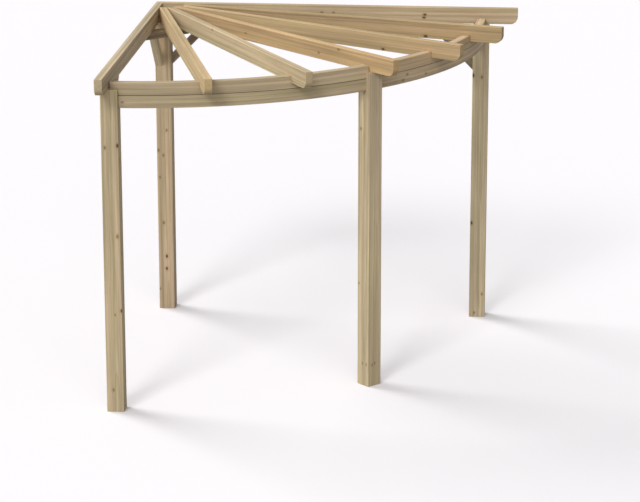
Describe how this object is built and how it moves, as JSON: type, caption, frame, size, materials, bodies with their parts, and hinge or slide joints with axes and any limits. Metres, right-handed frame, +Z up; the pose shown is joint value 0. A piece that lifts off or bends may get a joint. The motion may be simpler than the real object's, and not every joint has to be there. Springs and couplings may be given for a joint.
{
  "type": "wooden pergola",
  "caption": "Quarter-circle corner pergola in planed softwood: square posts, a curved front beam in layers, rafters fanning out from the corner post, and knee braces along the straight edges.",
  "frame": {"origin": "ground level, under the centre of the corner post", "axes": "+Z up; -Y from the corner post along the left edge to the left post; +X from the corner post along the right edge to the right post; the curved front faces +X and -Y"},
  "size_m": [2.757, 2.757, 2.42],
  "materials": {
    "post_timber": "planed, pressure-treated softwood with eased edges",
    "beam_timber": "laminated curved softwood, planed and pressure-treated",
    "rafter_timber": "planed, pressure-treated softwood with rounded ends",
    "brace_timber": "planed, pressure-treated softwood"
  },
  "bodies": {
    "root": {"corner_post": "post_timber", "left_post": "post_timber", "middle_post": "post_timber", "right_post": "post_timber", "lower_left_beam": "beam_timber", "upper_left_beam": "beam_timber", "lower_right_beam": "beam_timber", "upper_right_beam": "beam_timber", "corner_plate": "brace_timber", "rafter_1": "rafter_timber", "rafter_2": "rafter_timber", "rafter_3": "rafter_timber", "rafter_4": "rafter_timber", "rafter_5": "rafter_timber", "rafter_6": "rafter_timber", "rafter_7": "rafter_timber", "corner_left_brace": "brace_timber", "left_post_brace": "brace_timber", "corner_right_brace": "brace_timber", "right_post_brace": "brace_timber"}
  },
  "joints": []
}
